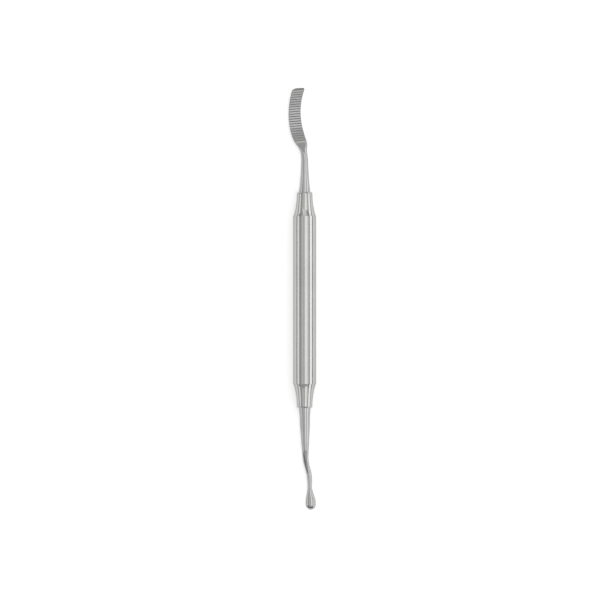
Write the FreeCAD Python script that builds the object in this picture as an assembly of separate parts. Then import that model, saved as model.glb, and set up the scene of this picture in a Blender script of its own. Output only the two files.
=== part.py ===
# A double-ended bone file with a hollow round handle, lying with its long toothed face up.
# X runs across the instrument, Y along the handle towards the long file, Z up. Millimetres.
# The origin is on the handle's axis, half way along its tube.
import FreeCAD, Part
import math
import os

from FreeCAD import Vector

# Handle tube
HANDLE_D = 9.52
TUBE_LENGTH = 69.5
TUBE_WALL = 1.0
TUBE_LEAD_IN = 0.2

# End cones, the same at both ends of the tube
CONE_LENGTH = 10.0
CONE_NOSE_D = 6.5
CONE_EDGE_STEP = 0.22
CONE_EDGE_LENGTH = 0.3
CONE_FLARE_LENGTH = 8.7
CONE_FLARE_SPANS = 4
CONE_NOSE_CHAMFER = 0.65
CONE_NOSE_ROUND = 0.9
CONE_NOSE_STEPS = 3
SPIGOT_LENGTH = 7.0
SPIGOT_CLEARANCE = 0.01

# Tangs, the hidden stems of the two files in the bores of the cones
TANG_D = 3.0
TANG_LENGTH = 9.0
TANG_CHAMFER = 0.3
TANG_CLEARANCE = 0.01
BORE_END_GAP = 0.5

# Long file: shank as (share of its length, diameter), thickest at the cone
LONG_END_LENGTH = 43.1
LONG_SHANK = ((0.0, 4.84), (0.2, 4.06), (0.42, 3.5), (0.75, 2.96), (1.0, 2.8))
LONG_NECK_TO_TIP = 26.8

# Long file: outline of the head as (distance from the tip, width across the instrument)
LONG_FLARE = ((25.3, 3.34), (24.1, 4.28), (22.9, 5.08), (21.6, 5.42), (18.8, 5.4), (15.0, 5.24))
LONG_WAIST_TO_TIP = 6.2
LONG_WAIST_WIDTH = 4.95
LONG_TIP_WIDTH = 5.24
LONG_OUTER_CORNER_R = 2.7
LONG_INNER_CORNER_R = 1.0

# Long file: the head swings to the side and drops to the level that the handle lies on
SWING_LOW_TO_TIP = 10.3
SWING_DEPTH = 4.16
SWING_BEND_R = 21.2
SWING_SWEEP_R = 30.3
DROP_LOW_TO_TIP = 11.85
DROP_BEND_R = 34.8
DROP_SWEEP_R = 40.0
BACK_BASE_TO_TIP = 22.8
BACK_BASE_DEPTH = 1.45
BACK_DEPTH = 1.6
BACK_TIP_DEPTH = 1.2

# Long file: hollow toothed face, with steep tooth fronts towards the handle
FACE_R = 27.0
FACE_LENGTH = 22.8
FACE_RAMP_ANGLE = 21.0
TIP_LAND = 0.86
BASE_LAND = 0.44
TOOTH_PITCH = 1.0
TOOTH_DEPTH = 0.22
TOOTH_FRONT_RUN = 0.3
TOOTH_LAND = 0.1
TOOTH_SKEW_ANGLE = 5.0

# Small file: shank, then a drop-shaped head with a convex back and its toothed face down
SMALL_END_LENGTH = 42.15
SMALL_SHANK = (
    (0.0, 4.9), (0.11, 4.36), (0.22, 4.12), (0.42, 3.36),
    (0.65, 2.46), (0.8, 2.22), (0.91, 2.04), (1.0, 1.76),
)
SMALL_NECK_TO_TIP = 9.8
SMALL_HEAD_WIDTH = 4.36
SMALL_HEAD_DEPTH = 1.7
SMALL_HEAD_SHIFT = 0.42
SMALL_ROUND_LENGTH = 2.6
SMALL_LEAN_ANGLE = 0.9
SMALL_BEND_OFFSET = 1.61
SMALL_BEND_LENGTH = 10.4
SMALL_BEND_TO_TIP = 12.1
SMALL_DROP_LENGTH = 16.0
SMALL_NECK_RISE = 0.35
SMALL_SIDE_FLAT = 2.18
SMALL_SIDE_FLAT_LEAN = 38.0
SMALL_SIDE_FLAT_LENGTH = 8.0
SMALL_TOOTH_PITCH = 0.8
SMALL_TOOTH_DEPTH = 0.3
SMALL_TOOTH_FRONT_RUN = 0.16
SMALL_TOOTH_LAND = 0.08
SMALL_FACE_LENGTH = 7.2

# How closely the lofted forms follow their outlines, and the reach of the cutters
SHANK_STEP = 4.0
HEAD_STEP = 1.2
SECTION_POINTS = 8
ROUND_END_SECTIONS = 5
ROUND_END_ANGLE = 84.0
WASTE = 12.0

handle_r = HANDLE_D / 2
tube_bore_r = handle_r - TUBE_WALL
spigot_r = tube_bore_r - SPIGOT_CLEARANCE
tang_r = TANG_D / 2
tang_bore_r = tang_r + TANG_CLEARANCE
rest_z = -handle_r
root_y = TUBE_LENGTH / 2 + CONE_LENGTH
long_tip_y = root_y + LONG_END_LENGTH
small_tip_y = root_y + SMALL_END_LENGTH
small_neck_y = small_tip_y - SMALL_NECK_TO_TIP
lean_slope = math.tan(math.radians(SMALL_LEAN_ANGLE))
small_head_x = lean_slope * (small_neck_y - root_y) + SMALL_BEND_OFFSET + SMALL_HEAD_SHIFT


def smooth_value(stations, at):
    """Value at a place on a smooth curve through (place, value) stations, with no overshoot."""
    places = [place for place, _ in stations]
    values = [value for _, value in stations]
    last = len(stations) - 1
    rises = [(values[i + 1] - values[i]) / (places[i + 1] - places[i]) for i in range(last)]
    slopes = [rises[0]]
    for before, after in zip(rises, rises[1:]):
        slopes.append(2 * before * after / (before + after) if before * after > 0 else 0.0)
    slopes.append(rises[-1])
    i = 0
    while i < last - 1 and at > places[i + 1]:
        i += 1
    span = places[i + 1] - places[i]
    t = (at - places[i]) / span
    start = values[i] * (1 + 2 * t) + slopes[i] * span * t
    end = values[i + 1] * (3 - 2 * t) + slopes[i + 1] * span * (t - 1)
    return start * (1 - t) ** 2 + end * t ** 2


def arc_drop(distance, radius):
    """How far an arc has left its tangent line."""
    return radius - math.sqrt(radius ** 2 - distance ** 2)


def swing(y, low_y, depth, bend_r, sweep_r, tip_r):
    """Offset of a path that leaves the axis by one arc and is brought back by a second, tangent one."""
    both = bend_r + sweep_r
    turn = math.acos(1 - depth / both)
    start_y = low_y - both * math.sin(turn)
    join_y = start_y + bend_r * math.sin(turn)
    if y <= start_y:
        return 0.0
    if y <= join_y:
        return arc_drop(y - start_y, bend_r)
    return depth - arc_drop(y - low_y, sweep_r if y < low_y else tip_r)


def oval(y, x, z, half_width, half_height):
    """Closed elliptical section across the handle's axis."""
    points = []
    for i in range(SECTION_POINTS):
        angle = 2 * math.pi * i / SECTION_POINTS
        points.append(Vector(x + half_width * math.cos(angle), y, z + half_height * math.sin(angle)))
    curve = Part.BSplineCurve()
    knots = [i / SECTION_POINTS for i in range(SECTION_POINTS + 1)]
    curve.interpolate(Points=points, PeriodicFlag=True, Parameters=knots)
    return Part.Wire([curve.toShape()])


def even_places(y_from, y_to, step):
    """Places for sections, evenly spaced from one end to the other."""
    count = math.ceil((y_to - y_from) / step)
    return [y_from + (y_to - y_from) * i / count for i in range(count + 1)]


def blank_places(bend_y, end_y):
    """Places for the sections of a blank: wide apart on the straight shank, close where it bends."""
    return even_places(root_y, bend_y, SHANK_STEP)[:-1] + even_places(bend_y, end_y, HEAD_STEP)


def lofted(section_at, places):
    """Solid through the sections that section_at gives at the places, ruled from one to the next."""
    return Part.makeLoft([section_at(y) for y in places], True, True)


def polyline(points):
    """Edges that join the points in turn."""
    return [Part.LineSegment(a, b).toShape() for a, b in zip(points, points[1:])]


def revolved(edges):
    """Solid of revolution about the handle's axis from the edges of a closed outline in the XY plane."""
    face = Part.Face(Part.Wire(Part.sortEdges(edges)[0]))
    return face.revolve(Vector(0, 0, 0), Vector(0, 1, 0), 360)


def turned(corners):
    """Solid of revolution about the handle's axis from the (radius, y) corners of its outline."""
    points = [Vector(radius, y, 0) for radius, y in corners]
    return revolved(polyline(points + points[:1]))


def handle_tube():
    """Plain tube with a lead-in at each mouth for the cones' spigots."""
    half = TUBE_LENGTH / 2
    lead_r = tube_bore_r + TUBE_LEAD_IN
    return turned([
        (handle_r, -half), (handle_r, half), (lead_r, half), (tube_bore_r, half - TUBE_LEAD_IN),
        (tube_bore_r, -half + TUBE_LEAD_IN), (lead_r, -half),
    ])


def end_cone():
    """Concave cone with a spigot for the tube and a blind bore for the tang, its nose towards +Y."""
    seat_y = TUBE_LENGTH / 2
    flare_y = seat_y + CONE_EDGE_LENGTH
    nose_y = flare_y + CONE_FLARE_LENGTH
    nose_r = CONE_NOSE_D / 2
    wide_r = handle_r - CONE_EDGE_STEP
    rise = wide_r - nose_r
    flare_r = (CONE_FLARE_LENGTH ** 2 + rise ** 2) / (2 * rise)
    flare_ys = even_places(flare_y, nose_y, CONE_FLARE_LENGTH / CONE_FLARE_SPANS)
    flare = Part.BSplineCurve()
    flare.interpolate([Vector(nose_r + arc_drop(nose_y - y, flare_r), y, 0) for y in flare_ys])

    nose = [Vector(nose_r, nose_y, 0)]
    for i in range(CONE_NOSE_STEPS + 1):
        turn = math.radians(90 * i / CONE_NOSE_STEPS)
        nose.append(Vector(nose_r - CONE_NOSE_CHAMFER * (1 - math.cos(turn)),
                           root_y - CONE_NOSE_ROUND * (1 - math.sin(turn)), 0))

    bore_y = root_y - TANG_LENGTH - BORE_END_GAP
    spigot_y = seat_y - SPIGOT_LENGTH
    inner = [
        Vector(tang_bore_r, root_y, 0), Vector(tang_bore_r, bore_y, 0), Vector(0, bore_y, 0),
        Vector(0, spigot_y, 0), Vector(spigot_r, spigot_y, 0), Vector(spigot_r, seat_y, 0),
        Vector(handle_r, seat_y, 0), Vector(wide_r, flare_y, 0),
    ]
    return revolved([flare.toShape()] + polyline(nose + inner))


def tang():
    """Stem that fills the bore of a cone, its shoulder at the cone's nose, towards +Y."""
    end_y = root_y - TANG_LENGTH
    return turned([
        (0, end_y), (tang_r - TANG_CHAMFER, end_y), (tang_r, end_y + TANG_CHAMFER),
        (tang_r, root_y), (0, root_y),
    ])


def shank_stations(shares, neck_y):
    """(place, radius) stations of a shank from its shoulder to its neck."""
    return [(root_y + share * (neck_y - root_y), diameter / 2) for share, diameter in shares]


def long_section(y):
    """Section of the long file's blank: round shank, flared neck and an oval head."""
    neck_y = long_tip_y - LONG_NECK_TO_TIP
    shank = shank_stations(LONG_SHANK, neck_y)
    flare = [(long_tip_y - back, width / 2) for back, width in LONG_FLARE]
    head = [(long_tip_y - LONG_WAIST_TO_TIP, LONG_WAIST_WIDTH / 2), (long_tip_y, LONG_TIP_WIDTH / 2)]
    low_y = long_tip_y - DROP_LOW_TO_TIP
    base_y = long_tip_y - BACK_BASE_TO_TIP
    depths = [(base_y, BACK_BASE_DEPTH), (low_y, BACK_DEPTH), (long_tip_y, BACK_TIP_DEPTH)]
    half_width = smooth_value(shank + flare + head, y)
    half_height = smooth_value(shank + depths, y)
    x = -swing(y, long_tip_y - SWING_LOW_TO_TIP, SWING_DEPTH, SWING_BEND_R, SWING_SWEEP_R, SWING_SWEEP_R)
    drop = -rest_z - BACK_DEPTH
    z = -swing(y, low_y, drop, DROP_BEND_R, DROP_SWEEP_R, FACE_R)
    return oval(y, x, z, half_width, half_height)


def rack(point_at, start, length, pitch, depth, front_run, land):
    """Points of a row of saw teeth: a long slope down, a steep front up and a small flat crest."""
    count = round(length / pitch)
    step = length / count
    points = []
    for i in range(count):
        crest = start + (i + 1) * step
        points += [point_at(crest - land - front_run, depth), point_at(crest - land, 0), point_at(crest, 0)]
    return points


def face_waste():
    """All that is milled off above the long file's face, with the teeth and the ramp at its base."""
    low_y = long_tip_y - DROP_LOW_TO_TIP
    low_z = rest_z + BACK_DEPTH
    middle_x = -SWING_DEPTH

    def on_face(along, depth):
        angle = along / FACE_R
        r = FACE_R + depth
        return Vector(middle_x, low_y + r * math.sin(angle), low_z + FACE_R - r * math.cos(angle))

    tip_along = FACE_R * math.asin(DROP_LOW_TO_TIP / FACE_R)
    base_along = -FACE_R * math.asin((FACE_LENGTH - DROP_LOW_TO_TIP) / FACE_R)
    first = base_along + BASE_LAND
    toothed_length = tip_along - TIP_LAND - first
    base = on_face(base_along, 0)
    ramp = math.radians(FACE_RAMP_ANGLE)
    ramp_top = base + Vector(0, -WASTE * math.cos(ramp), WASTE * math.sin(ramp))
    over_tip = on_face(tip_along + 2 * TIP_LAND, 0)
    top_z = ramp_top.z + TIP_LAND
    teeth = rack(on_face, first, toothed_length, TOOTH_PITCH, TOOTH_DEPTH, TOOTH_FRONT_RUN, TOOTH_LAND)
    outline = [ramp_top, base, on_face(first, 0)] + teeth
    outline += [over_tip, Vector(middle_x, over_tip.y, top_z), Vector(middle_x, ramp_top.y, top_z), ramp_top]
    skew = math.radians(TOOTH_SKEW_ANGLE)
    across = Vector(math.cos(skew), math.sin(skew), 0) * (2 * WASTE)
    face = Part.Face(Part.Wire(polyline(outline)))
    face.translate(-across / 2)
    return face.extrude(across)


def corner_centre(tip_point, across, inset, ring_centre, ring_r):
    """Centre of a corner arc, one inset below the tip line and on a ring about the head's sweep centre."""
    down = Vector(across.y, -across.x, 0)
    start = tip_point + down * inset
    away = start - ring_centre
    along = away.dot(across)
    reach = math.sqrt(along ** 2 - away.Length ** 2 + ring_r ** 2)
    return start + across * (-along - reach)


def tip_waste():
    """All that is cut off at the long file's tip: a skewed end with a rounded outer corner."""
    skew = math.radians(TOOTH_SKEW_ANGLE)
    across = Vector(math.cos(skew), math.sin(skew), 0)
    up = Vector(-across.y, across.x, 0)
    sweep_centre = Vector(SWING_SWEEP_R - SWING_DEPTH, long_tip_y - SWING_LOW_TO_TIP, 0)
    half = LONG_TIP_WIDTH / 2
    tip_x = sweep_centre.x - math.sqrt(SWING_SWEEP_R ** 2 - SWING_LOW_TO_TIP ** 2)
    tip_point = Vector(tip_x, long_tip_y, 0)

    outer_r = SWING_SWEEP_R + half
    outer = corner_centre(tip_point, across, LONG_OUTER_CORNER_R, sweep_centre, outer_r - LONG_OUTER_CORNER_R)
    outward = (outer - sweep_centre).normalize()
    side = outer + outward * LONG_OUTER_CORNER_R
    top = outer + up * LONG_OUTER_CORNER_R
    middle = outer + (outward + up).normalize() * LONG_OUTER_CORNER_R

    inner_r = SWING_SWEEP_R - half
    inner = corner_centre(tip_point, across, LONG_INNER_CORNER_R, sweep_centre, inner_r + LONG_INNER_CORNER_R)
    inward = (sweep_centre - inner).normalize()
    inner_top = inner + up * LONG_INNER_CORNER_R
    inner_side = inner + inward * LONG_INNER_CORNER_R
    inner_middle = inner + (inward + up).normalize() * LONG_INNER_CORNER_R

    edges = [Part.Arc(side, middle, top).toShape(), Part.Arc(inner_top, inner_middle, inner_side).toShape()]
    edges += polyline([top, inner_top])
    edges += polyline([
        inner_side, inner_side + inward * half, inner_side + inward * half + up * WASTE,
        side + outward * half + up * WASTE, side + outward * half, side,
    ])
    face = Part.Face(Part.Wire(Part.sortEdges(edges)[0]))
    face.translate(Vector(0, 0, -WASTE))
    return face.extrude(Vector(0, 0, 2 * WASTE))


def long_file():
    """Long crescent file, its neck, shank and tang in one forging."""
    blank = lofted(long_section, blank_places(long_tip_y - LONG_NECK_TO_TIP, long_tip_y + TIP_LAND))
    forging = blank.cut(tip_waste()).cut(face_waste())
    return forging.fuse(tang()).Solids[0]


def small_bend(y, length):
    """Share of an offset of the small file reached at a place, by two equal bends over a length."""
    t = (y - (small_tip_y - SMALL_BEND_TO_TIP - length)) / length
    if t <= 0:
        return 0.0
    if t >= 1:
        return 1.0
    return 2 * t ** 2 if t < 0.5 else 1 - 2 * (1 - t) ** 2


def small_section(y):
    """Section of the small file's blank, along +Y: shank, bends and the drop-shaped head."""
    wide_y = small_tip_y - SMALL_ROUND_LENGTH
    shank = shank_stations(SMALL_SHANK, small_neck_y)
    neck_r = shank[-1][1]
    half_width = half_height = smooth_value(shank, min(y, small_neck_y))
    neck_drop = -rest_z - neck_r - SMALL_NECK_RISE
    x = lean_slope * (min(y, small_neck_y) - root_y) + SMALL_BEND_OFFSET * small_bend(y, SMALL_BEND_LENGTH)
    z = -neck_drop * small_bend(y, SMALL_DROP_LENGTH)
    if y > small_neck_y:
        t = min((y - small_neck_y) / (wide_y - small_neck_y), 1.0)
        blend = t * t * (3 - 2 * t)
        half_width += (SMALL_HEAD_WIDTH / 2 - neck_r) * blend
        half_height += (SMALL_HEAD_DEPTH - neck_r) * blend
        x += SMALL_HEAD_SHIFT * blend
        z += (rest_z + neck_drop) * blend
    if y > wide_y:
        narrowing = math.sqrt(1 - ((y - wide_y) / SMALL_ROUND_LENGTH) ** 2)
        half_width *= narrowing
        half_height *= narrowing
    return oval(y, x, z, half_width, half_height)


def small_places():
    """Places for the small file's sections, closing up round its end."""
    wide_y = small_tip_y - SMALL_ROUND_LENGTH
    places = blank_places(small_tip_y - SMALL_BEND_TO_TIP - SMALL_DROP_LENGTH, wide_y)
    for i in range(1, ROUND_END_SECTIONS + 1):
        angle = math.radians(ROUND_END_ANGLE * i / ROUND_END_SECTIONS)
        places.append(wide_y + SMALL_ROUND_LENGTH * math.sin(angle))
    return places


def small_face_waste():
    """All that is milled off below the small file's face, with its teeth."""
    start = small_tip_y - SMALL_FACE_LENGTH

    def on_face(along, depth):
        return Vector(small_head_x - WASTE, along, rest_z + depth)

    teeth = rack(on_face, start, SMALL_FACE_LENGTH, SMALL_TOOTH_PITCH, SMALL_TOOTH_DEPTH,
                 SMALL_TOOTH_FRONT_RUN, SMALL_TOOTH_LAND)
    outline = [on_face(start - WASTE, 0), on_face(start, 0)] + teeth
    outline += [on_face(small_tip_y + WASTE, 0), on_face(small_tip_y + WASTE, -WASTE)]
    outline += [on_face(start - WASTE, -WASTE), outline[0]]
    return Part.Face(Part.Wire(polyline(outline))).extrude(Vector(2 * WASTE, 0, 0))


def small_side_waste():
    """Slab beside the drop-shaped head that leaves a slanting flat along its right flank."""
    slab = Part.makeBox(WASTE, SMALL_SIDE_FLAT_LENGTH + WASTE, 2 * WASTE, Vector(0, 0, -WASTE))
    slab.rotate(Vector(0, 0, 0), Vector(0, 1, 0), -SMALL_SIDE_FLAT_LEAN)
    slab.translate(Vector(small_head_x + SMALL_SIDE_FLAT, small_tip_y - SMALL_SIDE_FLAT_LENGTH, rest_z))
    return slab


def small_file():
    """Small drop-shaped file with its bent shank and tang, built along +Y and turned to -Y."""
    blank = lofted(small_section, small_places())
    forging = blank.cut(small_face_waste()).cut(small_side_waste())
    shape = forging.fuse(tang()).Solids[0]
    return shape.mirror(Vector(0, 0, 0), Vector(0, 1, 0))


def main():
    os.makedirs("parts", exist_ok=True)
    cone = end_cone()
    nodes = {
        "handle_tube": handle_tube(),
        "end_cone_long": cone,
        "end_cone_small": cone.mirror(Vector(0, 0, 0), Vector(0, 1, 0)),
        "long_file": long_file(),
        "small_file": small_file(),
    }
    for name, shape in nodes.items():
        shape.exportStep("parts/" + name + ".step")
        box = shape.BoundBox
        print(name, shape.ShapeType, len(shape.Solids), shape.isValid(), round(shape.Volume, 2),
              [round(v, 3) for v in (box.XMin, box.XMax, box.YMin, box.YMax, box.ZMin, box.ZMax)])


main()
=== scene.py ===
"""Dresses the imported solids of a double-ended bone file as satin steel on a white table."""

import logging
import math
from dataclasses import dataclass, field
from enum import Enum
from typing import Sequence

import bmesh
import bpy
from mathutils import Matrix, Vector


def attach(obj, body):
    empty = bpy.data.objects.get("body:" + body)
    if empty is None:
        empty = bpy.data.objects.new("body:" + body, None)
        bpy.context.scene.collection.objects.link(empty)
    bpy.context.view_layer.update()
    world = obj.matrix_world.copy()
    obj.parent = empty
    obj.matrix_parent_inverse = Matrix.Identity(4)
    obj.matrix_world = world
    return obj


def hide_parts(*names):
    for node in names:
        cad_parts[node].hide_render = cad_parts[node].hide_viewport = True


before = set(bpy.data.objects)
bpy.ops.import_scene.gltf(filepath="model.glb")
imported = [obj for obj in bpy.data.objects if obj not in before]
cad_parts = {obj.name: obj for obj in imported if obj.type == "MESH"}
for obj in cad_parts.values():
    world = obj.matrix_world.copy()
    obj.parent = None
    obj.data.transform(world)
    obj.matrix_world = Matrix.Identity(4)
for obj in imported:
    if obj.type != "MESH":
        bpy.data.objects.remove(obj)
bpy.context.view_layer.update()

log = logging.getLogger("bone_file")

MM = 0.001
BODY = "root"

# Points closer than these distances, in metres, are merged.
WELD = 1e-7
LATHE_WELD = 1e-6

# A noise texture mostly keeps between these values.
NOISE_LOW, NOISE_HIGH = 0.3, 0.7

Stations = Sequence[tuple[float, float]]
Ring = tuple[float, float, float, float, float]


class Grain(Enum):
    """Which way the polishing lines of a steel surface run."""

    AROUND = "around"
    ALONG = "along"


def srgb(code: str) -> tuple[float, float, float, float]:
    """Turn an sRGB hex colour to the linear colour that a shader takes.

    Args:
        code: six hex digits, with or without a leading hash.

    Returns:
        Linear red, green and blue, and an alpha of 1.
    """
    digits = code.lstrip("#")
    channels = [int(digits[i:i + 2], 16) / 255 for i in (0, 2, 4)]
    linear = [c / 12.92 if c <= 0.04045 else ((c + 0.055) / 1.055) ** 2.4 for c in channels]
    return (linear[0], linear[1], linear[2], 1.0)


def add_node(tree: bpy.types.NodeTree, kind: str, links: dict | None = None,
             **settings: object) -> bpy.types.Node:
    """Add one node to a tree, with its settings, values and links.

    Args:
        tree: shader or geometry tree.
        kind: the node's type name.
        links: input name or number, to an output socket that feeds it or a value.
        settings: properties of the node itself.

    Returns:
        The new node.
    """
    node = tree.nodes.new(kind)
    for name, value in settings.items():
        setattr(node, name, value)
    for key, value in (links or {}).items():
        if isinstance(value, bpy.types.NodeSocket):
            tree.links.new(value, node.inputs[key])
        else:
            node.inputs[key].default_value = value
    return node


@dataclass(frozen=True)
class SatinSteel:
    """Stainless steel with a satin polish: even grey, soft-edged reflections, faint polishing lines.

    The belt or wheel leaves lines of about 0.02 mm. They are drawn about ten times as coarse, so that a
    close view shows them at all; the eye reads them as the soft, silky spread of each reflection.
    """

    name: str
    colour: str
    cloud_colour: str
    roughness: float
    roughness_spread: float
    grain: Grain
    line_width_mm: float
    line_length_mm: float
    line_depth_mm: float
    cloud_mm: float = 9.0
    rim_colour: str = "#c8c8c8"

    def material(self) -> bpy.types.Material:
        """Build the material on the piece's own Object coordinates.

        Returns:
            The node material.
        """
        material = bpy.data.materials.new(self.name)
        material.use_nodes = True
        tree = material.node_tree
        tree.nodes.clear()
        place = add_node(tree, "ShaderNodeTexCoord").outputs["Object"]
        across, along = 1 / (self.line_width_mm * MM), 1 / (self.line_length_mm * MM)
        stretch = (along, across, along) if self.grain is Grain.AROUND else (across, along, across)
        mapped = add_node(tree, "ShaderNodeMapping", {"Vector": place, "Scale": stretch})
        lines = add_node(tree, "ShaderNodeTexNoise", {
            "Vector": mapped.outputs[0], "Scale": 1.0, "Detail": 3.0, "Roughness": 0.6})
        clouds = add_node(tree, "ShaderNodeTexNoise", {
            "Vector": place, "Scale": 1 / (self.cloud_mm * MM), "Detail": 2.0, "Roughness": 0.5})
        rough = add_node(tree, "ShaderNodeMapRange", {
            "Value": lines.outputs["Fac"], "From Min": NOISE_LOW, "From Max": NOISE_HIGH,
            "To Min": self.roughness - self.roughness_spread,
            "To Max": self.roughness + self.roughness_spread})
        tone = add_node(tree, "ShaderNodeMapRange", {
            "Value": clouds.outputs["Fac"], "From Min": NOISE_LOW, "From Max": NOISE_HIGH,
            "To Min": 0.0, "To Max": 1.0})
        colour = add_node(tree, "ShaderNodeMix", {
            "Factor": tone.outputs[0], 6: srgb(self.colour), 7: srgb(self.cloud_colour)}, data_type="RGBA")
        bump = add_node(tree, "ShaderNodeBump", {
            "Height": lines.outputs["Fac"], "Strength": 1.0, "Distance": self.line_depth_mm * MM})
        shader = add_node(tree, "ShaderNodeBsdfPrincipled", {
            "Base Color": colour.outputs[2], "Metallic": 1.0, "Roughness": rough.outputs[0],
            "Normal": bump.outputs[0], "Specular Tint": srgb(self.rim_colour)})
        add_node(tree, "ShaderNodeOutputMaterial", {"Surface": shader.outputs[0]})
        return material


@dataclass(frozen=True)
class TablePaper:
    """Seamless paper under the instrument: white to the eye, with a soft shadow round the piece."""

    name: str = "seamless_paper"
    colour: str = "#f4f4f4"
    lift: float = 0.4

    def material(self) -> bpy.types.Material:
        """Build the paper, which gets a little light of its own where it is seen straight or in the steel.

        Returns:
            The node material.
        """
        material = bpy.data.materials.new(self.name)
        material.use_nodes = True
        tree = material.node_tree
        tree.nodes.clear()
        ray = add_node(tree, "ShaderNodeLightPath")
        seen = add_node(tree, "ShaderNodeMath", {
            0: ray.outputs["Is Camera Ray"], 1: ray.outputs["Is Glossy Ray"]}, operation="ADD")
        seen = add_node(tree, "ShaderNodeMath", {
            0: seen.outputs[0], 1: ray.outputs["Is Transmission Ray"]}, operation="ADD", use_clamp=True)
        lift = add_node(tree, "ShaderNodeMath", {0: seen.outputs[0], 1: self.lift}, operation="MULTIPLY")
        glow = add_node(tree, "ShaderNodeEmission", {"Color": (1, 1, 1, 1), "Strength": lift.outputs[0]})
        paper = add_node(tree, "ShaderNodeBsdfDiffuse", {"Color": srgb(self.colour)})
        both = add_node(tree, "ShaderNodeAddShader", {0: paper.outputs[0], 1: glow.outputs[0]})
        add_node(tree, "ShaderNodeOutputMaterial", {"Surface": both.outputs[0]})
        return material


def smooth_value(stations: Stations, at: float) -> float:
    """Read a smooth curve with no overshoot at one place.

    Args:
        stations: (place, value) pairs in rising order of place.
        at: the place to read.

    Returns:
        The value there.
    """
    places = [place for place, _ in stations]
    values = [value for _, value in stations]
    last = len(stations) - 1
    rises = [(values[i + 1] - values[i]) / (places[i + 1] - places[i]) for i in range(last)]
    slopes = [rises[0]]
    for before, after in zip(rises, rises[1:]):
        slopes.append(2 * before * after / (before + after) if before * after > 0 else 0.0)
    slopes.append(rises[-1])
    i = 0
    while i < last - 1 and at > places[i + 1]:
        i += 1
    span = places[i + 1] - places[i]
    t = (at - places[i]) / span
    start = values[i] * (1 + 2 * t) + slopes[i] * span * t
    end = values[i + 1] * (3 - 2 * t) + slopes[i + 1] * span * (t - 1)
    return start * (1 - t) ** 2 + end * t ** 2


def arc_drop(distance: float, radius: float) -> float:
    """Return how far an arc has left its tangent line after a distance along that line."""
    return radius - math.sqrt(max(radius ** 2 - distance ** 2, 0.0))


def swing(y: float, low_y: float, depth: float, bend_r: float, sweep_r: float, tip_r: float) -> float:
    """Offset of a path that leaves the axis by one arc and is brought back by a second, tangent one.

    Args:
        y: place along the handle's axis.
        low_y: place where the offset is greatest.
        depth: the greatest offset.
        bend_r: radius of the first arc.
        sweep_r: radius of the second arc, up to low_y.
        tip_r: radius of the second arc past low_y.

    Returns:
        The offset at y.
    """
    both = bend_r + sweep_r
    turn = math.acos(1 - depth / both)
    start_y = low_y - both * math.sin(turn)
    join_y = start_y + bend_r * math.sin(turn)
    if y <= start_y:
        return 0.0
    if y <= join_y:
        return arc_drop(y - start_y, bend_r)
    return depth - arc_drop(y - low_y, sweep_r if y < low_y else tip_r)


def new_mesh(name: str, points: Sequence[Vector], faces: Sequence[Sequence[int]],
             edges: Sequence[Sequence[int]] = ()) -> bpy.types.Object:
    """Make an object from points in millimetres.

    Args:
        name: the object's name.
        points: places in millimetres.
        faces: corner numbers of each face.
        edges: end numbers of loose edges.

    Returns:
        The object at the origin, with its mesh in metres.
    """
    mesh = bpy.data.meshes.new(name)
    mesh.from_pydata([Vector(p) * MM for p in points], edges, faces)
    piece = bpy.data.objects.new(name, mesh)
    bpy.context.scene.collection.objects.link(piece)
    return piece


def prism(name: str, outline: Sequence[Vector], reach: Vector) -> bpy.types.Object:
    """Make a closed bar from a flat outline, drawn out both ways along a vector.

    Args:
        name: the object's name.
        outline: corners of the outline in turn.
        reach: half of the bar's length, as a vector.

    Returns:
        The bar.
    """
    count = len(outline)
    points = [p - reach for p in outline] + [p + reach for p in outline]
    sides = [(i, (i + 1) % count, count + (i + 1) % count, count + i) for i in range(count)]
    bar = new_mesh(name, points, [list(range(count))[::-1], list(range(count, 2 * count))] + sides)
    outward(bar)
    return bar


def outward(piece: bpy.types.Object) -> None:
    """Merge a piece's doubled points and turn its faces outwards."""
    shape = bmesh.new()
    shape.from_mesh(piece.data)
    bmesh.ops.remove_doubles(shape, verts=shape.verts, dist=WELD)
    bmesh.ops.dissolve_degenerate(shape, edges=shape.edges, dist=WELD)
    bmesh.ops.recalc_face_normals(shape, faces=shape.faces)
    shape.to_mesh(piece.data)
    shape.free()


def shade(piece: bpy.types.Object, crease_deg: float) -> None:
    """Shade a piece smooth, with an edge wherever two faces meet at more than the crease angle."""
    piece.data.shade_smooth()
    piece.data.set_sharp_from_angle(angle=math.radians(crease_deg))


def baked(piece: bpy.types.Object) -> None:
    """Turn a piece's modifiers to plain mesh and take them off."""
    depsgraph = bpy.context.evaluated_depsgraph_get()
    mesh = bpy.data.meshes.new_from_object(piece.evaluated_get(depsgraph))
    piece.modifiers.clear()
    piece.data = mesh


def set_inputs(modifier: bpy.types.NodesModifier, values: dict) -> None:
    """Set a geometry modifier's inputs by the identifiers of its sockets.

    Args:
        modifier: the modifier.
        values: input name to value.
    """
    sockets = modifier.node_group.interface.items_tree
    names = {s.name: s.identifier for s in sockets if s.item_type == "SOCKET" and s.in_out == "INPUT"}
    for name, value in values.items():
        modifier[names[name]] = value


def new_tree(name: str, sockets: Sequence[tuple[str, str]]) -> bpy.types.NodeTree:
    """Start a geometry tree with a geometry input, a geometry output and named inputs.

    Args:
        name: the tree's name.
        sockets: (name, socket type) of each further input.

    Returns:
        The tree.
    """
    tree = bpy.data.node_groups.new(name, "GeometryNodeTree")
    tree.interface.new_socket("Geometry", in_out="INPUT", socket_type="NodeSocketGeometry")
    for label, kind in sockets:
        tree.interface.new_socket(label, in_out="INPUT", socket_type=kind)
    tree.interface.new_socket("Geometry", in_out="OUTPUT", socket_type="NodeSocketGeometry")
    return tree


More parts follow.
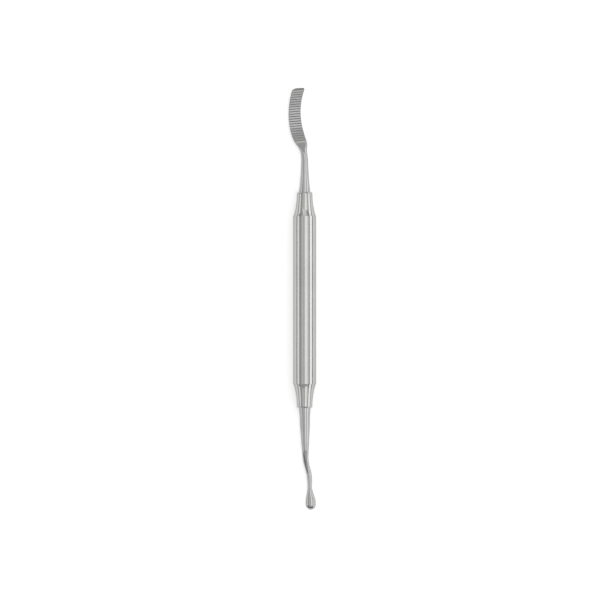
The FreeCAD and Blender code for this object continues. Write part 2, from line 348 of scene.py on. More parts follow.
def lathe_tree() -> bpy.types.NodeTree:
    """Geometry tree that turns a profile about the handle's axis.

    The profile's points hold the radius in X and the place along the axis in Y. A grid has a column of
    points for each facet and a row for each profile point, and each point is moved to its turned place.

    Returns:
        The tree.
    """
    tree = new_tree("turned_form", [("Facets", "NodeSocketInt"), ("Material", "NodeSocketMaterial")])
    given = add_node(tree, "NodeGroupInput")
    profile = given.outputs["Geometry"]
    rows = add_node(tree, "GeometryNodeAttributeDomainSize", {"Geometry": profile}).outputs["Point Count"]
    columns = add_node(tree, "ShaderNodeMath", {0: given.outputs["Facets"], 1: 1.0}, operation="ADD")
    grid = add_node(tree, "GeometryNodeMeshGrid", {
        "Size X": 1.0, "Size Y": 1.0, "Vertices X": columns.outputs[0], "Vertices Y": rows})
    index = add_node(tree, "GeometryNodeInputIndex").outputs[0]
    share = add_node(tree, "ShaderNodeMath", {0: index, 1: rows}, operation="DIVIDE")
    column = add_node(tree, "ShaderNodeMath", {0: share.outputs[0]}, operation="FLOOR")
    before = add_node(tree, "ShaderNodeMath", {0: column.outputs[0], 1: rows}, operation="MULTIPLY")
    row = add_node(tree, "ShaderNodeMath", {0: index, 1: before.outputs[0]}, operation="SUBTRACT")
    spot = add_node(tree, "GeometryNodeInputPosition").outputs[0]
    point = add_node(tree, "GeometryNodeSampleIndex", {
        "Geometry": profile, "Value": spot, "Index": row.outputs[0]}, data_type="FLOAT_VECTOR")
    parts = add_node(tree, "ShaderNodeSeparateXYZ", {0: point.outputs[0]})
    turn = add_node(tree, "ShaderNodeMath", {
        0: column.outputs[0], 1: given.outputs["Facets"]}, operation="DIVIDE")
    angle = add_node(tree, "ShaderNodeMath", {0: turn.outputs[0], 1: 2 * math.pi}, operation="MULTIPLY")
    cosine = add_node(tree, "ShaderNodeMath", {0: angle.outputs[0]}, operation="COSINE")
    sine = add_node(tree, "ShaderNodeMath", {0: angle.outputs[0]}, operation="SINE")
    x = add_node(tree, "ShaderNodeMath", {0: parts.outputs[0], 1: cosine.outputs[0]}, operation="MULTIPLY")
    z = add_node(tree, "ShaderNodeMath", {0: parts.outputs[0], 1: sine.outputs[0]}, operation="MULTIPLY")
    place = add_node(tree, "ShaderNodeCombineXYZ", {0: x.outputs[0], 1: parts.outputs[1], 2: z.outputs[0]})
    turned = add_node(tree, "GeometryNodeSetPosition", {
        "Geometry": grid.outputs["Mesh"], "Position": place.outputs[0]})
    closed = add_node(tree, "GeometryNodeMergeByDistance", {
        "Geometry": turned.outputs[0], "Distance": LATHE_WELD})
    whole = add_node(tree, "GeometryNodeRealizeInstances", {0: closed.outputs[0]})
    finished = add_node(tree, "GeometryNodeSetMaterial", {
        "Geometry": whole.outputs[0], "Material": given.outputs["Material"]})
    add_node(tree, "NodeGroupOutput", {0: finished.outputs[0]})
    return tree


def filing_tree() -> bpy.types.NodeTree:
    """Geometry tree that mills a face into a blank and repeats one tooth gash along it.

    The end cut comes off the blank first: the long file's tip corners, or the small file's right flank.
    The gash is drawn once, at the first tooth. Each copy is moved on by one step, or turned by one step
    about the face's centre of curvature. The lot is then slanted across the face and cut out of the blank.

    Returns:
        The tree.
    """
    tree = new_tree("cross_cut_face", [
        ("Milling", "NodeSocketObject"), ("Gash", "NodeSocketObject"), ("End cut", "NodeSocketObject"),
        ("Teeth", "NodeSocketInt"), ("Step", "NodeSocketFloat"), ("Step turn", "NodeSocketFloat"),
        ("Centre", "NodeSocketVector"), ("Middle", "NodeSocketFloat"), ("Slant", "NodeSocketFloat"),
        ("Material", "NodeSocketMaterial")])
    given = add_node(tree, "NodeGroupInput")
    gash, milling, end_cut = (
        add_node(tree, "GeometryNodeObjectInfo", {"Object": given.outputs[cutter]},
                 transform_space="ORIGINAL")
        for cutter in ("Gash", "Milling", "End cut"))
    step = add_node(tree, "ShaderNodeCombineXYZ", {1: given.outputs["Step"]})
    row = add_node(tree, "GeometryNodeMeshLine", {
        "Count": given.outputs["Teeth"], "Start Location": (0, 0, 0), "Offset": step.outputs[0]})
    copies = add_node(tree, "GeometryNodeInstanceOnPoints", {
        "Points": row.outputs[0], "Instance": gash.outputs["Geometry"]})
    number = add_node(tree, "GeometryNodeInputIndex")
    turn = add_node(tree, "ShaderNodeMath", {
        0: number.outputs[0], 1: given.outputs["Step turn"]}, operation="MULTIPLY")
    tilt = add_node(tree, "ShaderNodeCombineXYZ", {0: turn.outputs[0]})
    turned = add_node(tree, "GeometryNodeRotateInstances", {
        "Instances": copies.outputs[0], "Rotation": tilt.outputs[0], "Pivot Point": given.outputs["Centre"],
        "Local Space": False})
    teeth = add_node(tree, "GeometryNodeRealizeInstances", {0: turned.outputs[0]})
    waste = add_node(tree, "GeometryNodeJoinGeometry", {0: teeth.outputs[0]})
    tree.links.new(milling.outputs["Geometry"], waste.inputs[0])
    place = add_node(tree, "GeometryNodeInputPosition").outputs[0]
    spot = add_node(tree, "ShaderNodeSeparateXYZ", {0: place})
    side = add_node(tree, "ShaderNodeMath", {
        0: spot.outputs[0], 1: given.outputs["Middle"]}, operation="SUBTRACT")
    lean = add_node(tree, "ShaderNodeMath", {
        0: side.outputs[0], 1: given.outputs["Slant"]}, operation="MULTIPLY")
    shift = add_node(tree, "ShaderNodeCombineXYZ", {1: lean.outputs[0]})
    slanted = add_node(tree, "GeometryNodeSetPosition", {
        "Geometry": waste.outputs[0], "Offset": shift.outputs[0]})
    trimmed = add_node(tree, "GeometryNodeMeshBoolean", {
        "Mesh 1": given.outputs["Geometry"], "Mesh 2": end_cut.outputs["Geometry"]},
        operation="DIFFERENCE", solver="EXACT")
    cut = add_node(tree, "GeometryNodeMeshBoolean", {
        "Mesh 1": trimmed.outputs[0], "Mesh 2": slanted.outputs[0], "Self Intersection": True},
        operation="DIFFERENCE", solver="EXACT")
    whole = add_node(tree, "GeometryNodeRealizeInstances", {0: cut.outputs[0]})
    finished = add_node(tree, "GeometryNodeSetMaterial", {
        "Geometry": whole.outputs[0], "Material": given.outputs["Material"]})
    add_node(tree, "NodeGroupOutput", {0: finished.outputs[0]})
    return tree


def finish_piece(piece: bpy.types.Object, node: str, crease_deg: float) -> None:
    """Shade a built piece, let it ride on the instrument and stand for its CAD node.

    Args:
        piece: the finished mesh piece.
        node: the CAD node that it stands for.
        crease_deg: angle above which an edge shows.
    """
    outward(piece)
    shade(piece, crease_deg)
    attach(piece, BODY)
    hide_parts(node)
    log.info("%s stands for %s, %d faces", piece.name, node, len(piece.data.polygons))


@dataclass
class HollowHandle:
    """The plain tube and the two end cones, turned from bar and satin polished. Sizes in millimetres."""

    tube_r: float = 4.76
    bore_r: float = 3.76
    half_length: float = 34.75
    bore_lead: float = 0.2
    cone_length: float = 10.0
    cone_wide_r: float = 4.54
    cone_edge_length: float = 0.3
    edge_steps: int = 8
    flare_length: float = 8.7
    flare_steps: int = 24
    nose_r: float = 3.25
    nose_chamfer: float = 0.65
    nose_round: float = 0.9
    nose_steps: int = 12
    tang_bore_r: float = 1.51
    spigot_r: float = 3.75
    spigot_length: float = 7.0
    bore_end: float = 35.25
    facets: int = 192
    crease_deg: float = 20.0

    def tube_profile(self) -> list[Vector]:
        """Return the (radius, place) outline of the tube, as one closed loop."""
        half, lead = self.half_length, self.bore_lead
        return [Vector(p) for p in (
            (self.tube_r, -half, 0), (self.tube_r, 0, 0), (self.tube_r, half, 0),
            (self.bore_r + lead, half, 0), (self.bore_r, half - lead, 0), (self.bore_r, -half + lead, 0),
            (self.bore_r + lead, -half, 0), (self.tube_r, -half, 0))]

    def cone_profile(self) -> list[Vector]:
        """Return the (radius, place) outline of the end cone at +Y, from its axis out and back in."""
        seat = self.half_length
        root = seat + self.cone_length
        flare_y = seat + self.cone_edge_length
        nose_y = flare_y + self.flare_length
        rise = self.cone_wide_r - self.nose_r
        flare_r = (self.flare_length ** 2 + rise ** 2) / (2 * rise)
        spigot_end = seat - self.spigot_length
        outline = [(0, spigot_end), (self.spigot_r, spigot_end), (self.spigot_r, seat)]
        for i in range(self.edge_steps):
            turn = math.radians(90 * i / self.edge_steps)
            outline.append((self.cone_wide_r + (self.tube_r - self.cone_wide_r) * math.cos(turn),
                            seat + self.cone_edge_length * math.sin(turn)))
        for i in range(self.flare_steps + 1):
            y = flare_y + self.flare_length * i / self.flare_steps
            outline.append((self.nose_r + arc_drop(nose_y - y, flare_r), y))
        round_y = root - self.nose_round
        for i in range(self.nose_steps + 1):
            turn = math.radians(90 * i / self.nose_steps)
            outline.append((self.nose_r - self.nose_chamfer * (1 - math.cos(turn)),
                            round_y + self.nose_round * math.sin(turn)))
        outline += [(self.tang_bore_r, root), (self.tang_bore_r, self.bore_end), (0, self.bore_end)]
        return [Vector((r, y, 0)) for r, y in outline]

    def turned(self, name: str, profile: list[Vector], tree: bpy.types.NodeTree,
               material: bpy.types.Material) -> bpy.types.Object:
        """Turn a profile about the handle's axis with the lathe tree.

        Args:
            name: the piece's name.
            profile: (radius, place) points in turn.
            tree: the lathe tree.
            material: its finish.

        Returns:
            The turned piece as plain mesh.
        """
        edges = [(i, i + 1) for i in range(len(profile) - 1)]
        piece = new_mesh(name, profile, [], edges)
        lathe = piece.modifiers.new("lathe", "NODES")
        lathe.node_group = tree
        set_inputs(lathe, {"Facets": self.facets, "Material": material})
        baked(piece)
        return piece

    def build(self, material: bpy.types.Material) -> None:
        """Build the tube and both cones and dress them.

        Args:
            material: the handle's finish.
        """
        tree = lathe_tree()
        cone = self.cone_profile()
        mirrored = [Vector((p.x, -p.y, 0)) for p in cone]
        for name, node, profile in (
                ("handle_barrel", "handle_tube", self.tube_profile()),
                ("cone_to_long_file", "end_cone_long", cone),
                ("cone_to_small_file", "end_cone_small", mirrored)):
            piece = self.turned(name, profile, tree, material)
            finish_piece(piece, node, self.crease_deg)


def skinned(name: str, rings: Sequence[Ring], around: int) -> bpy.types.Object:
    """Make a closed blank from oval rings across the handle's axis.

    Args:
        name: the object's name.
        rings: (place, centre x, centre z, half width, half height) of each ring.
        around: points in a ring.

    Returns:
        The blank.
    """
    points, faces = [], []
    for y, x, z, half_width, half_height in rings:
        for i in range(around):
            angle = 2 * math.pi * i / around
            points.append(Vector((x + half_width * math.cos(angle), y, z + half_height * math.sin(angle))))
    for j in range(len(rings) - 1):
        for i in range(around):
            a, b = j * around + i, j * around + (i + 1) % around
            faces.append((a, b, b + around, a + around))
    last = (len(rings) - 1) * around
    faces.append(list(range(around))[::-1])
    faces.append(list(range(last, last + around)))
    blank = new_mesh(name, points, faces)
    outward(blank)
    return blank


@dataclass
class ForgedFile:
    """What the two files share: a tang in the cone's bore and a shank. Sizes in millimetres.

    A facet is on a tooth's front if its normal has at least the given shares of the front's own height
    above the face and reach towards the handle.
    """

    root_y: float = 44.75
    rest_z: float = -4.76
    tang_r: float = 1.5
    tang_length: float = 9.0
    tang_chamfer: float = 0.3
    around: int = 96
    ring_step: float = 0.25
    crease_deg: float = 22.0
    height_share: float = 0.5
    reach_share: float = 0.8

    def tang_rings(self) -> list[Ring]:
        """Return the rings of the tang, from its end to the shoulder."""
        end = self.root_y - self.tang_length
        return [(end, 0, 0, self.tang_r - self.tang_chamfer, self.tang_r - self.tang_chamfer),
                (end + self.tang_chamfer, 0, 0, self.tang_r, self.tang_r),
                (self.root_y, 0, 0, self.tang_r, self.tang_r)]

    def places(self, end_y: float) -> list[float]:
        """Return the places of the rings from the shoulder to an end."""
        count = math.ceil((end_y - self.root_y) / self.ring_step)
        return [self.root_y + (end_y - self.root_y) * i / count for i in range(count + 1)]

    def filed(self, blank: bpy.types.Object, tree: bpy.types.NodeTree, values: dict,
              cutters: Sequence[bpy.types.Object]) -> None:
        """Cut the face and teeth of a blank with the filing tree and remove the cutters.

        Args:
            blank: the forged blank.
            tree: the filing tree.
            values: the tree's inputs.
            cutters: objects that only serve the cut.
        """
        filing = blank.modifiers.new("filing", "NODES")
        filing.node_group = tree
        set_inputs(filing, values)
        baked(blank)
        for cutter in cutters:
            bpy.data.objects.remove(cutter)

    def is_ground_and_shaded(self, place: Vector, normal: Vector) -> bool:
        """Tell whether a facet gets the ground finish with its painted shade, by the rule of each file."""
        raise NotImplementedError

    def paint_ground_shade(self, piece: bpy.types.Object, material: bpy.types.Material) -> None:
        """Give the chosen facets the ground finish: rougher steel, painted darker as painted shade.

        Args:
            piece: the cut file.
            material: the ground finish, painted darker as painted shade.
        """
        piece.data.materials.append(material)
        last = len(piece.data.materials) - 1
        # These facets are painted darker, as painted shade.
        for polygon in piece.data.polygons:
            if self.is_ground_and_shaded(polygon.center, polygon.normal):
                polygon.material_index = last


@dataclass
class LongFile(ForgedFile):
    """The crescent file: flared neck, swept head, hollow cross-cut face."""

    end_length: float = 43.1
    shank: Stations = ((0.0, 4.84), (0.2, 4.06), (0.42, 3.5), (0.75, 2.96), (1.0, 2.8))
    neck_to_tip: float = 26.8
    flare: Stations = ((25.3, 3.34), (24.1, 4.28), (22.9, 5.08), (21.6, 5.42), (18.8, 5.4), (15.0, 5.24))
    waist_to_tip: float = 6.2
    waist_width: float = 4.95
    tip_width: float = 5.24
    outer_corner_r: float = 2.7
    inner_corner_r: float = 1.0
    swing_low_to_tip: float = 10.3
    swing_depth: float = 4.16
    swing_bend_r: float = 21.2
    swing_sweep_r: float = 30.3
    low_to_tip: float = 11.85
    drop_bend_r: float = 34.8
    drop_sweep_r: float = 40.0
    back_base: tuple[float, float] = (22.8, 1.45)
    back_depth: float = 1.6
    back_tip_depth: float = 1.2
    face_r: float = 27.0
    face_length: float = 22.8
    ramp_deg: float = 21.0
    ramp_spread_deg: float = 2.0
    tip_land: float = 0.86
    base_land: float = 0.44
    pitch: float = 1.0
    tooth_depth: float = 0.22
    front_run: float = 0.3
    land: float = 0.1
    gash_overshoot: float = 0.25
    slant_deg: float = 5.0
    arc_steps: int = 96
    corner_steps: int = 12
    reach: float = 12.0
    tip_y: float = field(init=False)

    def __post_init__(self) -> None:
        """Work out where the tip lies."""
        self.tip_y = self.root_y + self.end_length

    def ring(self, y: float) -> Ring:
        """Return the blank's ring at a place along the axis."""
        neck_y = self.tip_y - self.neck_to_tip
        shank = [(self.root_y + s * (neck_y - self.root_y), d / 2) for s, d in self.shank]
        flare = [(self.tip_y - back, width / 2) for back, width in self.flare]
        head = [(self.tip_y - self.waist_to_tip, self.waist_width / 2), (self.tip_y, self.tip_width / 2)]
        low_y = self.tip_y - self.low_to_tip
        depths = [(self.tip_y - self.back_base[0], self.back_base[1]), (low_y, self.back_depth),
                  (self.tip_y, self.back_tip_depth)]
        x = -swing(y, self.tip_y - self.swing_low_to_tip, self.swing_depth, self.swing_bend_r,
                   self.swing_sweep_r, self.swing_sweep_r)
        z = -swing(y, low_y, -self.rest_z - self.back_depth, self.drop_bend_r,
                   self.drop_sweep_r, self.face_r)
        return (y, x, z, smooth_value(shank + flare + head, y), smooth_value(shank + depths, y))

    def on_face(self, along: float, depth: float) -> Vector:
        """Return the point at a distance along the hollow face's arc and a depth below it."""
        angle = along / self.face_r
        r = self.face_r + depth
        return Vector((-self.swing_depth, self.tip_y - self.low_to_tip + r * math.sin(angle),
                       self.centre().z - r * math.cos(angle)))

    def centre(self) -> Vector:
        """Return the centre of the face's arc."""
        return Vector((-self.swing_depth, self.tip_y - self.low_to_tip,
                       self.rest_z + self.back_depth + self.face_r))

    def face_ends(self) -> tuple[float, float]:
        """Return where the face begins and ends, as distances along its arc from its lowest place."""
        return (-self.face_r * math.asin((self.face_length - self.low_to_tip) / self.face_r),
                self.face_r * math.asin(self.low_to_tip / self.face_r))

    def milling(self) -> bpy.types.Object:
        """Return the bar that stands for all that is milled off above the face and its ramp."""
        base_along, tip_along = self.face_ends()
        ramp = math.radians(self.ramp_deg)
        base = self.on_face(base_along, 0)
        ramp_top = base + Vector((0, -math.cos(ramp), math.sin(ramp))) * self.reach
        end = tip_along + 2 * self.tip_land
        arc = [self.on_face(base_along + (end - base_along) * i / self.arc_steps, 0)
               for i in range(self.arc_steps + 1)]
        top = ramp_top.z + self.tip_land
        outline = [ramp_top] + arc
        outline += [Vector((arc[-1].x, arc[-1].y, top)), Vector((arc[-1].x, ramp_top.y, top))]
        return prism("milling", outline, Vector((self.reach, 0, 0)))

    def teeth(self) -> tuple[int, float, float]:
        """Return the number of teeth, their step and the place of the first along the face's arc."""
        base_along, tip_along = self.face_ends()
        first = base_along + self.base_land
        length = tip_along - self.tip_land - first
        count = round(length / self.pitch)
        return count, length / count, first

    def gash(self, first: float, step: float) -> bpy.types.Object:
        """Return the bar that one tooth's gash takes out, at the first tooth."""
        crest = first + step
        outline = [self.on_face(first, -self.gash_overshoot), self.on_face(first, 0),
                   self.on_face(crest - self.land - self.front_run, self.tooth_depth),
                   self.on_face(crest - self.land, 0),
                   self.on_face(crest - self.land, -self.gash_overshoot)]
        return prism("gash", outline, Vector((self.reach, 0, 0)))

    def corner(self, tip_point: Vector, across: Vector, inset: float, ring_r: float,
               centre: Vector) -> Vector:
        """Find the centre of a corner arc, below the tip line and on a ring about the sweep's centre.

        Args:
            tip_point: a point on the tip line.
            across: the way along that line.
            inset: how far below the line the centre lies.
            ring_r: radius of the ring.
            centre: centre of the sweep.

        Returns:
            The centre of the corner arc.
        """
        start = tip_point + Vector((across.y, -across.x, 0)) * inset
        away = start - centre
        along = away.dot(across)
        return start + across * (-along - math.sqrt(along ** 2 - away.length_squared + ring_r ** 2))

    def end_cut(self) -> bpy.types.Object:
        """Return the bar that leaves the slanted tip with one round and one tight corner."""
        slant = math.radians(self.slant_deg)
        across = Vector((math.cos(slant), math.sin(slant), 0))
        up = Vector((-across.y, across.x, 0))
        sweep = Vector((self.swing_sweep_r - self.swing_depth, self.tip_y - self.swing_low_to_tip, 0))
        half = self.tip_width / 2
        tip_x = sweep.x - math.sqrt(self.swing_sweep_r ** 2 - self.swing_low_to_tip ** 2)
        tip_point = Vector((tip_x, self.tip_y, 0))
        outer_r, inner_r = self.outer_corner_r, self.inner_corner_r
        outer = self.corner(tip_point, across, outer_r, self.swing_sweep_r + half - outer_r, sweep)
        inner = self.corner(tip_point, across, inner_r, self.swing_sweep_r - half + inner_r, sweep)
        outward_way = (outer - sweep).normalized()
        inward_way = (sweep - inner).normalized()

        def arc(centre: Vector, start: Vector, end: Vector, radius: float) -> list[Vector]:
            """Return the points of one corner arc, from one way to the other."""
            steps = self.corner_steps
            return [centre + start.slerp(end, i / steps) * radius for i in range(steps + 1)]

        outline = arc(outer, outward_way, up, outer_r) + arc(inner, up, inward_way, inner_r)
        last, first = outline[-1] + inward_way * half, outline[0] + outward_way * half
        outline += [last, last + up * self.reach, first + up * self.reach, first]
        return prism("end_cut", outline, Vector((0, 0, self.reach)))

    def is_ground_and_shaded(self, place: Vector, normal: Vector) -> bool:
        """Tell whether a facet is on the ramp at the face's base, or on the front of a tooth.

        Args:
            place: the facet's middle, in metres.
            normal: the way it faces.

        Returns:
            True where the ground finish goes, painted darker as painted shade.
        """
        if place.y < (self.tip_y - self.face_length) * MM:
            ramp, slant = math.radians(self.ramp_deg), math.radians(self.slant_deg)
            towards_tip = Vector((-math.sin(slant), math.cos(slant), 0))
            facing = towards_tip * math.sin(ramp) + Vector((0, 0, math.cos(ramp)))
            return normal.angle(facing) < math.radians(self.ramp_spread_deg)
        away = self.centre() * MM - place
        above = Vector((0, away.y, away.z)).normalized()
        towards_base = Vector((0, -above.z, above.y))
        front = math.atan2(self.tooth_depth, self.front_run)
        return (normal.dot(above) > math.cos(front) * self.height_share
                and normal.dot(towards_base) > math.sin(front) * self.reach_share)

    def build(self, tree: bpy.types.NodeTree, material: bpy.types.Material,
              ground_shaded_material: bpy.types.Material) -> None:
        """Build and dress the long file.

        Args:
            tree: the filing tree.
            material: the file's finish.
            ground_shaded_material: the finish of the teeth's fronts and of the ramp at the face's base,
                painted darker as painted shade.
        """
        rings = self.tang_rings() + [self.ring(y) for y in self.places(self.tip_y + self.tip_land)]
        blank = skinned("crescent_file", rings, self.around)
        count, step, first = self.teeth()
        cutters = (self.milling(), self.gash(first, step), self.end_cut())
        self.filed(blank, tree, {
            "Milling": cutters[0], "Gash": cutters[1], "End cut": cutters[2], "Teeth": count, "Step": 0.0,
            "Step turn": step / self.face_r, "Centre": self.centre() * MM, "Middle": -self.swing_depth * MM,
            "Slant": math.tan(math.radians(self.slant_deg)), "Material": material}, cutters)
        # The teeth's fronts and the ramp are painted darker here, as painted shade.
        self.paint_ground_shade(blank, ground_shaded_material)
        finish_piece(blank, "long_file", self.crease_deg)


@dataclass
class SmallFile(ForgedFile):
    """The drop-shaped file: twice bent shank, convex back, flat cross-cut face below.

    It is built along +Y like the long file, and then mirrored to the other end.
    """

    end_length: float = 42.15
    shank: Stations = (
        (0.0, 4.9), (0.11, 4.36), (0.22, 4.12), (0.42, 3.36),
        (0.65, 2.46), (0.8, 2.22), (0.91, 2.04), (1.0, 1.76))
    neck_to_tip: float = 9.8
    head_width: float = 4.36
    head_depth: float = 1.7
    head_shift: float = 0.42
    round_length: float = 2.6
    lean_deg: float = 0.9
    bend_offset: float = 1.61
    bend_length: float = 10.4
    bend_to_tip: float = 12.1
    drop_length: float = 16.0
    neck_rise: float = 0.35
    side_flat: float = 2.18
    side_flat_lean_deg: float = 38.0
    side_flat_length: float = 8.0
    pitch: float = 0.8
    tooth_depth: float = 0.3
    front_run: float = 0.16
    land: float = 0.08
    face_length: float = 7.2
    gash_overshoot: float = 0.2
    reach: float = 12.0
    end_rings: int = 24
    end_turn_deg: float = 84.0
    tip_y: float = field(init=False)
    neck_y: float = field(init=False)
    head_x: float = field(init=False)

    def __post_init__(self) -> None:
        """Work out where the tip, the neck and the head lie."""
        self.tip_y = self.root_y + self.end_length
        self.neck_y = self.tip_y - self.neck_to_tip
        self.head_x = self.leaning(self.neck_y) + self.bend_offset + self.head_shift

    def leaning(self, y: float) -> float:
        """Return how far the shank has leant to the side at a place."""
        return math.tan(math.radians(self.lean_deg)) * (min(y, self.neck_y) - self.root_y)

    def bend(self, y: float, length: float) -> float:
        """Return the share of an offset that two equal bends over a length have reached at a place."""
        t = (y - (self.tip_y - self.bend_to_tip - length)) / length
        if t <= 0:
            return 0.0
        if t >= 1:
            return 1.0
        return 2 * t ** 2 if t < 0.5 else 1 - 2 * (1 - t) ** 2

    def ring(self, y: float) -> Ring:
        """Return the blank's ring at a place along the axis."""
        neck_y = self.neck_y
        wide_y = self.tip_y - self.round_length
        shank = [(self.root_y + s * (neck_y - self.root_y), d / 2) for s, d in self.shank]
        neck_r = shank[-1][1]
        half_width = half_height = smooth_value(shank, min(y, neck_y))
        neck_drop = -self.rest_z - neck_r - self.neck_rise
        x = self.leaning(y) + self.bend_offset * self.bend(y, self.bend_length)
        z = -neck_drop * self.bend(y, self.drop_length)
        if y > neck_y:
            t = min((y - neck_y) / (wide_y - neck_y), 1.0)
            blend = t * t * (3 - 2 * t)
            half_width += (self.head_width / 2 - neck_r) * blend
            half_height += (self.head_depth - neck_r) * blend
            x += self.head_shift * blend
            z += (self.rest_z + neck_drop) * blend
        if y > wide_y:
            narrowing = math.sqrt(max(1 - ((y - wide_y) / self.round_length) ** 2, 0.0))
            half_width *= narrowing
            half_height *= narrowing
        return (y, x, z, half_width, half_height)

    def milling(self) -> bpy.types.Object:
        """Return the bar that stands for all that is milled off below the face."""
        near, far = self.tip_y - self.reach - self.face_length, self.tip_y + self.reach
        low = self.rest_z - self.reach
        outline = [Vector((self.head_x, y, z)) for y, z in (
            (near, self.rest_z), (far, self.rest_z), (far, low), (near, low))]
        return prism("milling", outline, Vector((self.reach, 0, 0)))

    def gash(self, step: float) -> bpy.types.Object:
        """Return the bar that one tooth's gash takes out, at the tooth nearest to the neck."""
        start = self.tip_y - self.face_length
        crest = start + step
        outline = [Vector((self.head_x, y, self.rest_z + rise)) for y, rise in (
            (start, -self.gash_overshoot), (start, 0),
            (crest - self.land - self.front_run, self.tooth_depth),
            (crest - self.land, 0), (crest - self.land, -self.gash_overshoot))]
        return prism("gash", outline, Vector((self.reach, 0, 0)))

    def side_cut(self) -> bpy.types.Object:
        """Return the bar that leaves a slanting flat along the right flank."""
        lean = math.radians(self.side_flat_lean_deg)
        up = Vector((-math.sin(lean), 0, math.cos(lean))) * self.reach
        out = Vector((math.cos(lean), 0, math.sin(lean))) * self.reach
        edge = Vector((self.head_x + self.side_flat, self.tip_y, self.rest_z))
        outline = [edge - up, edge + up, edge + up + out, edge - up + out]
        return prism("side_cut", outline, Vector((0, self.side_flat_length, 0)))

    def is_ground_and_shaded(self, place: Vector, normal: Vector) -> bool:
        """Tell whether a facet is on the front of a tooth, while the file still points along +Y.

        Args:
            place: the facet's middle, in metres.
            normal: the way it faces.

        Returns:
            True where the ground finish goes, painted darker as painted shade.
        """
        front = math.atan2(self.tooth_depth, self.front_run)
        on_face = place.y > (self.tip_y - self.face_length) * MM
        return (on_face and -normal.z > math.cos(front) * self.height_share
                and -normal.y > math.sin(front) * self.reach_share)

    def build(self, tree: bpy.types.NodeTree, material: bpy.types.Material,
              ground_shaded_material: bpy.types.Material) -> None:
        """Build and dress the small file.

        Args:
            tree: the filing tree.
            material: the file's finish.
            ground_shaded_material: the finish of the teeth's fronts, painted darker as painted shade.
        """
        wide_y = self.tip_y - self.round_length
        rings = self.tang_rings() + [self.ring(y) for y in self.places(wide_y)]
        for i in range(1, self.end_rings + 1):
            turn = math.radians(self.end_turn_deg * i / self.end_rings)
            rings.append(self.ring(wide_y + self.round_length * math.sin(turn)))
        blank = skinned("drop_file", rings, self.around)
        count = round(self.face_length / self.pitch)
        step = self.face_length / count
        cutters = (self.milling(), self.gash(step), self.side_cut())
        self.filed(blank, tree, {
            "Milling": cutters[0], "Gash": cutters[1], "End cut": cutters[2], "Teeth": count,
            "Step": step * MM, "Step turn": 0.0, "Centre": (0.0, 0.0, 0.0), "Middle": 0.0, "Slant": 0.0,
            "Material": material}, cutters)
        # The teeth's fronts are painted darker here, as painted shade.
        self.paint_ground_shade(blank, ground_shaded_material)
        for vertex in blank.data.vertices:
            vertex.co.y = -vertex.co.y
        finish_piece(blank, "small_file", self.crease_deg)


@dataclass(frozen=True)
class Strip:
    """A long soft lamp beside the instrument or over its ends, seen in the steel as a bright band.

    Angles are measured from straight above, to the right, or towards the long file for one over the ends.
    Glow is its brightness, where 1 shows a white card. Shift slides it along its own length, towards the
    long file, or to the right for one over the ends. Sizes in metres.
    """

    name: str
    from_deg: float
    to_deg: float
    glow: float
    distance: float = 0.9
    length: float = 0.6
    shift: float = 0.0


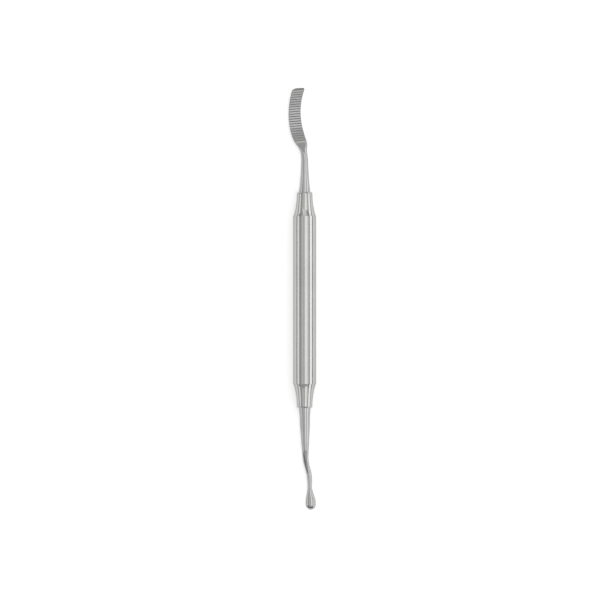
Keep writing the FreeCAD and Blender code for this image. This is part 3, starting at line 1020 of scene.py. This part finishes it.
@dataclass
class Studio:
    """White paper, strip lamps and a camera straight above, as in a catalogue picture. Sizes in metres."""

    picture_width: float = 0.24858
    centre: tuple[float, float] = (-0.00193, 0.0)
    camera_height: float = 0.4
    paper_size: float = 8.0
    paper_z: float = -0.00476
    ambient: float = 0.16
    strips: tuple[Strip, ...] = (
        Strip("panel_above", -62, 56, 0.37, length=1.6),
        Strip("strip_left_low", -81, -58, 1.05, length=1.0),
        Strip("strip_left_high", -32, -10, 0.32, length=1.0),
        Strip("strip_middle", 2, 28, 0.88, length=1.0, shift=-0.06),
        Strip("strip_middle_edge", 28, 42, 0.45, length=1.0, shift=-0.06),
        Strip("strip_right_low", 54, 81, 1.45, length=1.8),
    )
    end_cards: tuple[Strip, ...] = (
        Strip("card_near_low", -88, -74, 0.5, length=1.2),
        Strip("card_near", -57, -40, 0.4, length=1.0),
        Strip("card_above", -4, 26, 0.33, length=0.126, shift=-0.024),
        Strip("card_far_high", 26, 43, 0.5),
        Strip("card_far_middle", 43, 64, 0.92),
        Strip("card_far_low", 64, 88, 0.5, length=1.2),
    )

    def paper(self) -> None:
        """Lay the paper that the instrument lies on."""
        half = self.paper_size / 2 / MM
        z = self.paper_z / MM
        corners = ((-half, -half), (half, -half), (half, half), (-half, half))
        sheet = new_mesh("paper", [Vector((x, y, z)) for x, y in corners], [(0, 1, 2, 3)])
        sheet.data.materials.append(TablePaper().material())

    def sky(self) -> None:
        """Give the room an even glow, white where it is seen straight."""
        world = bpy.data.worlds.new("studio")
        bpy.context.scene.world = world
        world.use_nodes = True
        tree = world.node_tree
        tree.nodes.clear()
        ray = add_node(tree, "ShaderNodeLightPath")
        level = add_node(tree, "ShaderNodeMapRange", {
            "Value": ray.outputs["Is Camera Ray"], "To Min": self.ambient, "To Max": 1.0})
        glow = add_node(tree, "ShaderNodeBackground", {"Color": (1, 1, 1, 1), "Strength": level.outputs[0]})
        add_node(tree, "ShaderNodeOutputWorld", {"Surface": glow.outputs[0]})

    def lamp(self, strip: Strip, across: bool = True) -> None:
        """Hang one strip lamp.

        Args:
            strip: where it hangs and how bright it is.
            across: True beside the instrument, False over its ends, where angles run to the long file.
        """
        middle = math.radians((strip.from_deg + strip.to_deg) / 2)
        width = 2 * strip.distance * math.tan(math.radians((strip.to_deg - strip.from_deg) / 2))
        data = bpy.data.lights.new(strip.name, "AREA")
        data.shape = "RECTANGLE"
        data.size, data.size_y = (width, strip.length) if across else (strip.length, width)
        data.energy = strip.glow * math.pi * width * strip.length
        lamp = bpy.data.objects.new(strip.name, data)
        bpy.context.scene.collection.objects.link(lamp)
        aside, above = strip.distance * math.sin(middle), strip.distance * math.cos(middle)
        lamp.location = (aside, strip.shift, above) if across else (strip.shift, aside, above)
        lamp.rotation_euler = (0, middle, 0) if across else (-middle, 0, 0)

    def camera(self) -> None:
        """Set the camera straight above, with the long file up in the picture."""
        data = bpy.data.cameras.new("camera")
        data.type = "ORTHO"
        data.ortho_scale = self.picture_width
        camera = bpy.data.objects.new("camera", data)
        bpy.context.scene.collection.objects.link(camera)
        camera.location = (self.centre[0], self.centre[1], self.camera_height)
        bpy.context.scene.camera = camera

    def build(self) -> None:
        """Build the whole studio."""
        self.camera()
        self.paper()
        self.sky()
        for strip in self.strips:
            self.lamp(strip)
        for card in self.end_cards:
            self.lamp(card, across=False)
        bpy.context.scene.view_settings.view_transform = "Standard"


# Stainless bar, turned and wheel polished round its axis: long, even streaks of light, hardly blurred.
HANDLE_STEEL = SatinSteel(
    name="stainless_steel_turned_satin", colour="#bebebd", cloud_colour="#b9b9b8", roughness=0.11,
    roughness_spread=0.02, grain=Grain.AROUND, line_width_mm=0.2, line_length_mm=3.0, line_depth_mm=0.0006)
# Forged stainless steel, belt polished along its length: a slightly darker and softer grey.
FILE_STEEL = SatinSteel(
    name="stainless_steel_forged_satin", colour="#bababa", cloud_colour="#b2b2b1", roughness=0.13,
    roughness_spread=0.03, grain=Grain.ALONG, line_width_mm=0.18, line_length_mm=2.0, line_depth_mm=0.001)
# The same steel as milled and ground, rougher so that its light blurs, with a darker grey that is painted
# shade for the teeth's gashes and the ramp at the face's base.
GROUND_SHADED_STEEL = SatinSteel(
    name="stainless_steel_ground_painted_shade", colour="#969695", cloud_colour="#8f8f8e", roughness=0.26,
    roughness_spread=0.03, grain=Grain.ALONG, line_width_mm=0.18, line_length_mm=2.0, line_depth_mm=0.001)


def main() -> None:
    """Build the instrument's pieces in order, then the studio."""
    logging.basicConfig(level=logging.INFO, format="%(message)s")
    HollowHandle().build(HANDLE_STEEL.material())
    tree = filing_tree()
    # The ground finish is painted darker, as painted shade in the gashes and on the ramp.
    file_steel, ground_shaded_steel = FILE_STEEL.material(), GROUND_SHADED_STEEL.material()
    LongFile().build(tree, file_steel, ground_shaded_steel)
    SmallFile().build(tree, file_steel, ground_shaded_steel)
    Studio().build()
    bpy.context.view_layer.update()


if __name__ == "__main__":
    main()
